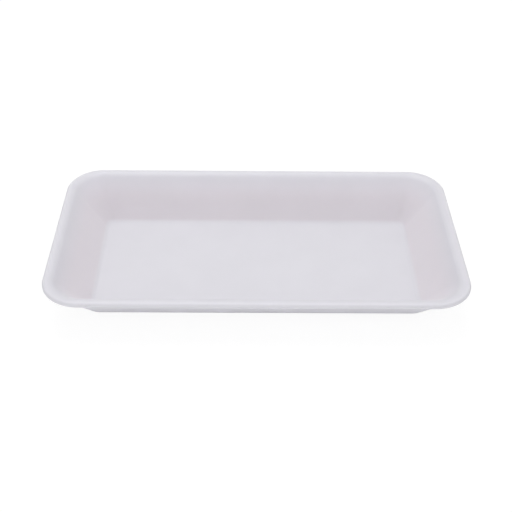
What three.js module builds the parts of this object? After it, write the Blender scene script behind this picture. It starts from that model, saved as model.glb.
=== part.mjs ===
// Foam meat tray: a shallow oblong tray pressed from one sheet of warm foam.
//
// A flat floor bends up into four sloping walls, and the walls roll over into a
// narrow rounded rim. The corners are parts of cones: wide at the rim and nearly
// sharp at the floor. Millimetres, +Z up, the underside stands on z = 0, and the
// long side lies along X.
//
// The tray is one closed surface. Its section is drawn once, as the distance in
// from the rim's outer edge against the height, and every point of the section
// is swept round the tray as a rounded rectangle that far in from the edge.

import * as THREE from "three";

// Overall size, over the rim
const LENGTH = 273;
const WIDTH = 146;
const HEIGHT = 32;

// Foam sheet
const SHEET = 4;
const FOAM_COLOUR = 0xdddce2;
const FOAM_ROUGHNESS = 0.6;

// Slope of the walls from the floor, in degrees, and the bend inside their foot
const WALL_ANGLE = 52;
const FLOOR_FILLET = 5.5;

// Corners, seen from above: at the rim's outer edge and at the edge of the flat floor
const RIM_CORNER = 24.5;
const FLOOR_CORNER = 4.6;

// Rim: its thickness, how far it stands out past the wall under it, the rounding of
// its lower edge, and the bends above and below it that lead into the wall
const LIP_THICKNESS = 3.7;
const LIP_OVERHANG = 3.3;
const LOWER_EDGE_RADIUS = 1.4;
const CREST_RADIUS = 6.5;
const UNDERLIP_RADIUS = 1.5;

// Steps: an arc of the section has twice as many chords, and so has a corner
const SECTION_STEPS = 3;
const CORNER_STEPS = 6;

const quarterTurn = Math.PI / 2;
const slope = THREE.MathUtils.degToRad(WALL_ANGLE);

// Length that a bend from level to the wall takes from each side, per radius
const bendShare = Math.tan(slope / 2);

// Above its lower edge the lip is round right up to its top, and so it is widest at the
// height of its nose. Its flat underside runs back to the wall.
const upperEdgeRadius = LIP_THICKNESS - LOWER_EDGE_RADIUS;
const noseHeight = HEIGHT - upperEdgeRadius;
const lipUnderside = HEIGHT - LIP_THICKNESS;

// Width of the sheet where a level cut crosses the wall
const levelSheet = SHEET / Math.sin(slope);

// Where the inside of the wall, run on straight, meets the rim's top and the floor
const wallAtRim = LIP_OVERHANG - LIP_THICKNESS / Math.tan(slope) + levelSheet;
const wallAtFloor = wallAtRim + (HEIGHT - SHEET) / Math.tan(slope);

// Neither bend of the rim is wider than the flat that it leads into
const crestRadius = Math.min(CREST_RADIUS, (wallAtRim - upperEdgeRadius) / bendShare);
const underlipRadius = Math.min(UNDERLIP_RADIUS, (LIP_OVERHANG - LOWER_EDGE_RADIUS) / bendShare);

// The flat floor and the flat underside both start here
const flatInset = wallAtFloor + FLOOR_FILLET * bendShare;

// Section of the inside, from the edge of the flat floor to the tip of the nose.
// In both sections x is the distance in from the rim's outer edge, y the height.
function insideSection() {
  const crestInset = wallAtRim - crestRadius * bendShare;
  const path = new THREE.Path();
  path.absarc(flatInset, SHEET + FLOOR_FILLET, FLOOR_FILLET, -quarterTurn, -quarterTurn - slope, true);
  path.absarc(crestInset, HEIGHT - crestRadius, crestRadius, quarterTurn - slope, quarterTurn, false);
  path.absarc(upperEdgeRadius, noseHeight, upperEdgeRadius, quarterTurn, 2 * quarterTurn, false);
  return path.getPoints(SECTION_STEPS);
}

// Section of the outside, from the tip of the nose to the edge of the underside
function outsideSection() {
  const bend = FLOOR_FILLET + SHEET;
  const underlipInset = LIP_OVERHANG - underlipRadius * bendShare;
  const underlipHeight = lipUnderside - underlipRadius;
  const lowerEdge = LOWER_EDGE_RADIUS;
  const path = new THREE.Path();
  path.absarc(lowerEdge, noseHeight, lowerEdge, 2 * quarterTurn, 3 * quarterTurn, false);
  path.absarc(underlipInset, underlipHeight, underlipRadius, quarterTurn, quarterTurn - slope, true);
  path.absarc(flatInset, bend, bend, -quarterTurn - slope, -quarterTurn, false);
  return path.getPoints(SECTION_STEPS);
}

// Corner radius on the inside, which narrows evenly from the rim to the floor
function insideCorner(inset) {
  return RIM_CORNER - ((RIM_CORNER - FLOOR_CORNER) * inset) / flatInset;
}

// Corner radius on the outside, which lies the sheet's width outside the inside's.
// The rounding of the lower edge leads over from the one to the other.
function outsideCorner(inset, height) {
  const belowNose = Math.min((noseHeight - height) / LOWER_EDGE_RADIUS, 1);
  const apart = insideCorner(inset + levelSheet) + levelSheet - insideCorner(inset);
  return insideCorner(inset) + belowNose * apart;
}

// Rounded rectangle round the tray, at a height and a distance in from the edge
function levelOutline(inset, height, radius) {
  const x = LENGTH / 2 - inset - radius;
  const y = WIDTH / 2 - inset - radius;
  const outline = new THREE.Path();
  outline.absarc(x, y, radius, 0, quarterTurn, false);
  outline.absarc(-x, y, radius, quarterTurn, 2 * quarterTurn, false);
  outline.absarc(-x, -y, radius, 2 * quarterTurn, 3 * quarterTurn, false);
  outline.absarc(x, -y, radius, 3 * quarterTurn, 4 * quarterTurn, false);
  return outline.getPoints(CORNER_STEPS).map((point) => new THREE.Vector3(point.x, point.y, height));
}

// All outlines in order, from the flat floor over the rim to the flat underside
function trayOutlines() {
  const inside = insideSection();
  const outside = outsideSection().slice(1);
  return [
    ...inside.map(({ x, y }) => levelOutline(x, y, insideCorner(x))),
    ...outside.map(({ x, y }) => levelOutline(x, y, outsideCorner(x, y))),
  ];
}

// Closed surface through the outlines, with the first and the last filled in flat
function closedLoft(outlines) {
  const around = outlines[0].length;
  const last = (outlines.length - 1) * around;
  const faces = [];
  for (let near = 0; near < last; near += around) {
    const far = near + around;
    for (let step = 0; step < around; step += 1) {
      const next = (step + 1) % around;
      faces.push(near + next, near + step, far + step);
      faces.push(near + next, far + step, far + next);
    }
  }
  for (const [a, b, c] of THREE.ShapeUtils.triangulateShape(outlines[0], [])) {
    faces.push(a, b, c);
    faces.push(last + a, last + c, last + b);
  }
  const geometry = new THREE.BufferGeometry().setFromPoints(outlines.flat());
  geometry.setIndex(faces);
  geometry.computeVertexNormals();
  return geometry;
}

function foam() {
  return new THREE.MeshStandardMaterial({
    color: FOAM_COLOUR,
    roughness: FOAM_ROUGHNESS,
    metalness: 0,
  });
}

function foamTray() {
  const tray = new THREE.Mesh(closedLoft(trayOutlines()), foam());
  tray.name = "tray";
  return tray;
}

const model = new THREE.Group();
model.add(foamTray());

export default model;
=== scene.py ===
import math

import bmesh
import bpy
from mathutils import Matrix, Vector


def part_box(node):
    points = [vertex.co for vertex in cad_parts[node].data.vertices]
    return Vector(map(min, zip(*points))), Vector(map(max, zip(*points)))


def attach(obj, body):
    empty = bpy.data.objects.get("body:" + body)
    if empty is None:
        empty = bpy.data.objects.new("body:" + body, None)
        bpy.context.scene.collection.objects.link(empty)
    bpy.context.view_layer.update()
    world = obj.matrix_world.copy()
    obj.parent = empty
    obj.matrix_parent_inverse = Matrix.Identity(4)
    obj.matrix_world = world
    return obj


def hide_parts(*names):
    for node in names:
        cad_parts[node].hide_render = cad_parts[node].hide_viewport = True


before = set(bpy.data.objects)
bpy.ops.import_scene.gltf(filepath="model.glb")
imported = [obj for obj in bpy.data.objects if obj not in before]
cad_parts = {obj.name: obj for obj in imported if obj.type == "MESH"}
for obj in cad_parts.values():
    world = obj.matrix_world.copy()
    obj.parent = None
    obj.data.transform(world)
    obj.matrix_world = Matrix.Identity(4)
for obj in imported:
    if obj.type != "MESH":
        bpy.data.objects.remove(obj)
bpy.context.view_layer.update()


# The tray
# An oblong tray for a portion of meat, pressed in one stroke from one sheet of warm polystyrene foam.
# A flat floor bends up into four sloping walls, and the walls roll over into a narrow round rim.
# Its corners are parts of cones, wide at the rim and nearly sharp at the floor.
MM = 0.001
SHEET = 4 * MM
WALL_SLOPE = math.radians(52)
FLOOR_FILLET = 5.5 * MM
RIM_CORNER = 24.5 * MM
FLOOR_CORNER = 4.6 * MM
LIP_THICKNESS = 3.7 * MM
LIP_OVERHANG = 3.3 * MM
LOWER_EDGE = 1.4 * MM
CREST_RADIUS = 6.5 * MM
UNDERLIP_RADIUS = 1.5 * MM

CORNER_SEGMENTS = 24
WALL_LEVELS = 8
BEND_STEP = math.radians(4.5)
FLAT_MARGIN = 1 * MM

tray_low, tray_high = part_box("tray")
length, width, height = tray_high - tray_low

quarter_turn = math.pi / 2
bend_share = math.tan(WALL_SLOPE / 2)
upper_edge = LIP_THICKNESS - LOWER_EDGE
nose_rise = height - upper_edge
level_sheet = SHEET / math.sin(WALL_SLOPE)
wall_at_rim = LIP_OVERHANG - LIP_THICKNESS / math.tan(WALL_SLOPE) + level_sheet
wall_at_floor = wall_at_rim + (height - SHEET) / math.tan(WALL_SLOPE)
flat_inset = wall_at_floor + FLOOR_FILLET * bend_share


def bend(inset, rise, radius, start, end):
    """Points (inset from the rim's edge, height) round one bend of the tray's section."""
    steps = max(2, round(abs(end - start) / BEND_STEP))
    angles = [start + (end - start) * step / steps for step in range(steps + 1)]
    return [
        Vector((inset + radius * math.cos(angle), rise + radius * math.sin(angle)))
        for angle in angles
    ]


def straight(start, end, steps):
    """Points along one straight stretch of the section, without its two ends."""
    return [start.lerp(end, step / steps) for step in range(1, steps)]


def inside_corner(inset):
    """Corner radius of the inside, which narrows evenly from the rim to the floor."""
    return RIM_CORNER - (RIM_CORNER - FLOOR_CORNER) * inset / flat_inset


def outside_corner(inset, rise):
    """Corner radius of the outside, the sheet's width away, led over round the lower edge."""
    below_nose = min(1, (nose_rise - rise) / LOWER_EDGE)
    apart = inside_corner(inset + level_sheet) + level_sheet - inside_corner(inset)
    return inside_corner(inset) + below_nose * apart


def corner_place(inset, rise, corner, side_x, side_y):
    """Matrix from a corner of unit radius to the tray's corner on that side, at one level."""
    x = side_x * (length / 2 - inset - corner)
    y = side_y * (width / 2 - inset - corner)
    return Matrix.Translation((x, y, rise)) @ Matrix.Diagonal((corner, corner, 1, 1))


crest_inset = wall_at_rim - CREST_RADIUS * bend_share
foot_inside = bend(
    flat_inset, SHEET + FLOOR_FILLET, FLOOR_FILLET, -quarter_turn, -quarter_turn - WALL_SLOPE,
)
crest = bend(
    crest_inset, height - CREST_RADIUS, CREST_RADIUS, quarter_turn - WALL_SLOPE, quarter_turn,
)
nose_top = bend(upper_edge, nose_rise, upper_edge, quarter_turn, 2 * quarter_turn)
inside = foot_inside + straight(foot_inside[-1], crest[0], WALL_LEVELS) + crest + nose_top

nose_underside = bend(LOWER_EDGE, nose_rise, LOWER_EDGE, 2 * quarter_turn, 3 * quarter_turn)[1:]
underlip_inset = LIP_OVERHANG - UNDERLIP_RADIUS * bend_share
underlip_rise = height - LIP_THICKNESS - UNDERLIP_RADIUS
underlip = bend(
    underlip_inset, underlip_rise, UNDERLIP_RADIUS, quarter_turn, quarter_turn - WALL_SLOPE,
)
foot_radius = FLOOR_FILLET + SHEET
foot_outside = bend(flat_inset, foot_radius, foot_radius, -quarter_turn - WALL_SLOPE, -quarter_turn)
outer_wall = straight(underlip[-1], foot_outside[0], WALL_LEVELS)
outside = nose_underside + underlip + outer_wall + foot_outside

levels = [(inset, rise, inside_corner(inset)) for inset, rise in inside]
levels += [(inset, rise, outside_corner(inset, rise)) for inset, rise in outside]

# The flat floor: a rectangle with its corners bevelled round.
shell = bmesh.new()
reach = Matrix.Diagonal((length / 2 - flat_inset, width / 2 - flat_inset, 1, 1))
floor_place = Matrix.Translation((0, 0, SHEET)) @ reach
flat_floor = bmesh.ops.create_grid(shell, x_segments=1, y_segments=1, size=1, matrix=floor_place)
rounded = bmesh.ops.bevel(
    shell, geom=flat_floor["verts"], offset=FLOOR_CORNER, offset_type="OFFSET", affect="VERTICES",
    segments=CORNER_SEGMENTS, profile=0.5, material=-1,
)
top_flat = rounded["verts"][0].link_faces[0]

# Its edge is drawn out level by level, up the inside, over the rim and down the outside.
edge = list(top_flat.edges)
for here, there in zip(levels, levels[1:]):
    drawn = bmesh.ops.extrude_edge_only(shell, edges=edge)["geom"]
    edge = [
        part for part in drawn
        if isinstance(part, bmesh.types.BMEdge) and len(part.link_faces) == 1
    ]
    ring = {vert for part in edge for vert in part.verts}
    for side_x in (-1, 1):
        for side_y in (-1, 1):
            corner = [vert for vert in ring if vert.co.x * side_x > 0 and vert.co.y * side_y > 0]
            old_place = corner_place(*here, side_x, side_y)
            new_place = corner_place(*there, side_x, side_y)
            bmesh.ops.transform(shell, matrix=new_place @ old_place.inverted(), verts=corner)

# The flat underside closes it, and both flats get a narrow margin that keeps their shading level.
bottom_flat = bmesh.ops.edgeloop_fill(shell, edges=edge)["faces"][0]
bmesh.ops.recalc_face_normals(shell, faces=shell.faces)
for flat in (top_flat, bottom_flat):
    bmesh.ops.inset_region(shell, faces=[flat], thickness=FLAT_MARGIN, use_even_offset=True)
for face in shell.faces:
    face.smooth = True

tray_mesh = bpy.data.meshes.new("foam_tray")
shell.to_mesh(tray_mesh)
shell.free()
tray = bpy.data.objects.new("foam_tray", tray_mesh)
bpy.context.collection.objects.link(tray)


# The foam's finish
# Pressed polystyrene foam has a smooth, faintly satin skin over very fine closed cells. It is a pale
# lavender white and faintly cloudy; a painted warm light makes the inside of the walls a touch
# pinker.
# The top of the rim has a little painted shade, and round its trimmed outer edge a darker painted
# shade.
FLAT_COLOUR = (0.741, 0.733, 0.775, 1)
WALL_LIGHT_TINT = (0.77, 0.738, 0.775, 1)
EDGE_SHADE_COLOUR = (0.655, 0.648, 0.685, 1)
RIM_SHADE_TONE = 0.97
CLOUD_TONE = 0.98
CLOUD_SIZE = 22 * MM
CLOUD_CONTRAST = (0.3, 0.7)
ROUGHNESS_RANGE = (0.4, 0.48)
CELL_SIZE = 0.45 * MM
CELL_DEPTH = 0.05 * MM
CELL_STRENGTH = 0.35
SCATTER_LENGTH = 3 * MM

foam = bpy.data.materials.new("pressed_foam")
foam.use_nodes = True
nodes = foam.node_tree.nodes
links = foam.node_tree.links
skin = nodes["Principled BSDF"]
skin.inputs["IOR"].default_value = 1.5
skin.inputs["Subsurface Weight"].default_value = 1
skin.inputs["Subsurface Radius"].default_value = (1, 1, 1)
skin.inputs["Subsurface Scale"].default_value = SCATTER_LENGTH


def ranged(value, low, high, at_low=0, at_high=1):
    """Output that goes from at_low to at_high while the value goes from low to high."""
    node = nodes.new("ShaderNodeMapRange")
    node.inputs["From Min"].default_value = low
    node.inputs["From Max"].default_value = high
    node.inputs["To Min"].default_value = at_low
    node.inputs["To Max"].default_value = at_high
    links.new(value, node.inputs["Value"])
    return node.outputs["Result"]


def product(first, second):
    """Output that multiplies two values."""
    node = nodes.new("ShaderNodeMath")
    node.operation = "MULTIPLY"
    links.new(first, node.inputs[0])
    links.new(second, node.inputs[1])
    return node.outputs["Value"]


def tinted(colour, amount):
    """Mix node that adds some of a colour to what comes into its socket A."""
    node = nodes.new("ShaderNodeMix")
    node.data_type = "RGBA"
    node.inputs["B"].default_value = colour
    links.new(amount, node.inputs["Factor"])
    return node


place = nodes.new("ShaderNodeTexCoord")
spot = nodes.new("ShaderNodeSeparateXYZ")
links.new(place.outputs["Object"], spot.inputs["Vector"])
facing = nodes.new("ShaderNodeSeparateXYZ")
links.new(place.outputs["Normal"], facing.inputs["Vector"])

# How far the surface faces away from the middle: 1 on the rim's edge, below 0 inside the walls.
plan = nodes.new("ShaderNodeVectorMath")
plan.operation = "MULTIPLY"
plan.inputs[1].default_value = (2 / length, 2 / width, 0)
links.new(place.outputs["Object"], plan.inputs[0])
outward = nodes.new("ShaderNodeVectorMath")
outward.operation = "DOT_PRODUCT"
links.new(plan.outputs["Vector"], outward.inputs[0])
links.new(place.outputs["Normal"], outward.inputs[1])

# Painted warm light turns the walls pink, only inside, where the surface is steep but still faces up.
# The upward part of its normal is 1 on the flat floor and 0.6 on the inside of the walls.
LEVEL_FACING = 0.97
STEEP_FACING = 0.7
UPWARD_FACING = (0.1, 0.4)
PINK_FROM = height - MM
PINK_FULL = 0.6 * height

steepness = ranged(facing.outputs["Z"], LEVEL_FACING, STEEP_FACING)
upwardness = ranged(facing.outputs["Z"], *UPWARD_FACING)
depth = ranged(spot.outputs["Z"], PINK_FROM, PINK_FULL)
painted_wall_light = tinted(WALL_LIGHT_TINT, product(product(steepness, upwardness), depth))
painted_wall_light.inputs["A"].default_value = FLAT_COLOUR

# The edge's painted shade lies above the lip's underside, and fades in over its lowest millimetre.
EDGE_FACING = (0.45, 0.95)
lip_underside = height - LIP_THICKNESS

edge_shade_share = ranged(outward.outputs["Value"], *EDGE_FACING)
above_lip = ranged(spot.outputs["Z"], lip_underside, lip_underside + MM)
painted_edge_shade = tinted(EDGE_SHADE_COLOUR, product(edge_shade_share, above_lip))
links.new(painted_wall_light.outputs["Result"], painted_edge_shade.inputs["A"])

# Faint clouds and a painted shade along the top of the rim darken all these colours a little.
cloud = nodes.new("ShaderNodeTexNoise")
cloud.inputs["Scale"].default_value = 1 / CLOUD_SIZE
cloud.inputs["Detail"].default_value = 4
cloud.inputs["Roughness"].default_value = 0.55
links.new(place.outputs["Object"], cloud.inputs["Vector"])
cloudiness = ranged(cloud.outputs["Fac"], *CLOUD_CONTRAST, CLOUD_TONE, 1)
painted_rim_shade = ranged(spot.outputs["Z"], height - 2 * LIP_THICKNESS, height - MM, 1, RIM_SHADE_TONE)
tone = nodes.new("ShaderNodeVectorMath")
tone.operation = "SCALE"
links.new(painted_edge_shade.outputs["Result"], tone.inputs["Vector"])
links.new(product(cloudiness, painted_rim_shade), tone.inputs["Scale"])
links.new(tone.outputs["Vector"], skin.inputs["Base Color"])
satin = ranged(cloud.outputs["Fac"], *CLOUD_CONTRAST, *ROUGHNESS_RANGE)
links.new(satin, skin.inputs["Roughness"])

# The closed cells show through the skin as very fine pimples.
cells = nodes.new("ShaderNodeTexVoronoi")
cells.feature = "SMOOTH_F1"
cells.inputs["Scale"].default_value = 1 / CELL_SIZE
links.new(place.outputs["Object"], cells.inputs["Vector"])
pimple = nodes.new("ShaderNodeBump")
pimple.inputs["Strength"].default_value = CELL_STRENGTH
pimple.inputs["Distance"].default_value = CELL_DEPTH
pimple.invert = True
links.new(cells.outputs["Distance"], pimple.inputs["Height"])
links.new(pimple.outputs["Normal"], skin.inputs["Normal"])

tray_mesh.materials.append(foam)
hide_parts("tray")
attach(tray, "root")


# The floor under the tray
# A plain white sweep, paper smooth, which carries the tray and its soft shadow.
# To the camera it glows white, apart from the share that shows the shadow.
FLOOR_SIZE = 6
FLOOR_COLOUR = (0.9, 0.9, 0.9, 1)
SHADOW_SHARE = 0.16
FLOOR_GLOW = 1.06

ground = bmesh.new()
bmesh.ops.create_grid(ground, x_segments=1, y_segments=1, size=FLOOR_SIZE / 2)
floor_mesh = bpy.data.meshes.new("studio_floor")
ground.to_mesh(floor_mesh)
ground.free()
floor = bpy.data.objects.new("studio_floor", floor_mesh)
bpy.context.collection.objects.link(floor)

paper = bpy.data.materials.new("white_sweep")
paper.use_nodes = True
nodes = paper.node_tree.nodes
links = paper.node_tree.links
nodes.remove(nodes["Principled BSDF"])
matt = nodes.new("ShaderNodeBsdfDiffuse")
matt.inputs["Color"].default_value = FLOOR_COLOUR
glow = nodes.new("ShaderNodeEmission")
glow.inputs["Strength"].default_value = FLOOR_GLOW
ray = nodes.new("ShaderNodeLightPath")
seen = nodes.new("ShaderNodeMath")
seen.operation = "MULTIPLY"
seen.inputs[1].default_value = 1 - SHADOW_SHARE
links.new(ray.outputs["Is Camera Ray"], seen.inputs[0])
white = nodes.new("ShaderNodeMixShader")
links.new(seen.outputs["Value"], white.inputs["Fac"])
links.new(matt.outputs["BSDF"], white.inputs[1])
links.new(glow.outputs["Emission"], white.inputs[2])
links.new(white.outputs["Shader"], nodes["Material Output"].inputs["Surface"])
floor_mesh.materials.append(paper)


# The light
# A soft box hangs over the tray, a low card in front lifts its outer wall, and a white room,
# paler overhead than at the horizon, lights it from all round.
CEILING_STRENGTH = 0.765
HORIZON_STRENGTH = 0.385
HORIZON_RISE = 0.1
CEILING_RISE = 0.45

world = bpy.data.worlds.new("white_room")
bpy.context.scene.world = world
world.use_nodes = True
nodes = world.node_tree.nodes
links = world.node_tree.links
room = nodes["Background"]
room.inputs["Color"].default_value = (1, 1, 1, 1)
around = nodes.new("ShaderNodeTexCoord")
direction = nodes.new("ShaderNodeSeparateXYZ")
links.new(around.outputs["Generated"], direction.inputs["Vector"])
ceiling = nodes.new("ShaderNodeMapRange")
ceiling.interpolation_type = "SMOOTHSTEP"
ceiling.inputs["From Min"].default_value = HORIZON_RISE
ceiling.inputs["From Max"].default_value = CEILING_RISE
ceiling.inputs["To Min"].default_value = HORIZON_STRENGTH
ceiling.inputs["To Max"].default_value = CEILING_STRENGTH
links.new(direction.outputs["Z"], ceiling.inputs["Value"])
links.new(ceiling.outputs["Result"], room.inputs["Strength"])
backdrop = nodes.new("ShaderNodeBackground")
ray = nodes.new("ShaderNodeLightPath")
direct = nodes.new("ShaderNodeMath")
direct.operation = "MAXIMUM"
links.new(ray.outputs["Is Camera Ray"], direct.inputs[0])
links.new(ray.outputs["Is Transmission Ray"], direct.inputs[1])
sky = nodes.new("ShaderNodeMixShader")
links.new(direct.outputs["Value"], sky.inputs["Fac"])
links.new(room.outputs["Background"], sky.inputs[1])
links.new(backdrop.outputs["Background"], sky.inputs[2])
links.new(sky.outputs["Shader"], nodes["World Output"].inputs["Surface"])


def softbox(name, stand, size, power):
    """A square lamp that faces the tray."""
    lamp = bpy.data.lights.new(name, "AREA")
    lamp.shape = "SQUARE"
    lamp.size = size
    lamp.energy = power
    box = bpy.data.objects.new(name, lamp)
    box.location = stand
    box.rotation_euler = Vector(stand).to_track_quat("Z", "Y").to_euler()
    bpy.context.collection.objects.link(box)


softbox("top_softbox", stand=(-0.15, 0.3, 1.5), size=0.8, power=6.8)
softbox("front_card", stand=(0, -1.2, 0.09), size=0.16, power=2.8)


# The camera
# It stands in front of the tray's long side and looks down on it, a hair off square and level.
# The lens is given in millimetres and its distance in metres.
VIEW_LENS = 60.5
VIEW_DISTANCE = 0.6138
VIEW_ELEVATION = math.radians(40.21)
VIEW_TURN = math.radians(0.856)
VIEW_ROLL = math.radians(0.846)
VIEW_AIM = Vector((0, 11.5, 0)) * MM

sight = Vector((
    math.sin(VIEW_TURN) * math.cos(VIEW_ELEVATION),
    math.cos(VIEW_TURN) * math.cos(VIEW_ELEVATION),
    -math.sin(VIEW_ELEVATION),
))
lens = bpy.data.cameras.new("camera")
lens.lens = VIEW_LENS
camera = bpy.data.objects.new("camera", lens)
camera.matrix_world = (
    Matrix.Translation(VIEW_AIM - sight * VIEW_DISTANCE)
    @ sight.to_track_quat("-Z", "Y").to_matrix().to_4x4()
    @ Matrix.Rotation(VIEW_ROLL, 4, "Z")
)
bpy.context.collection.objects.link(camera)
bpy.context.scene.camera = camera
bpy.context.scene.view_settings.view_transform = "Standard"
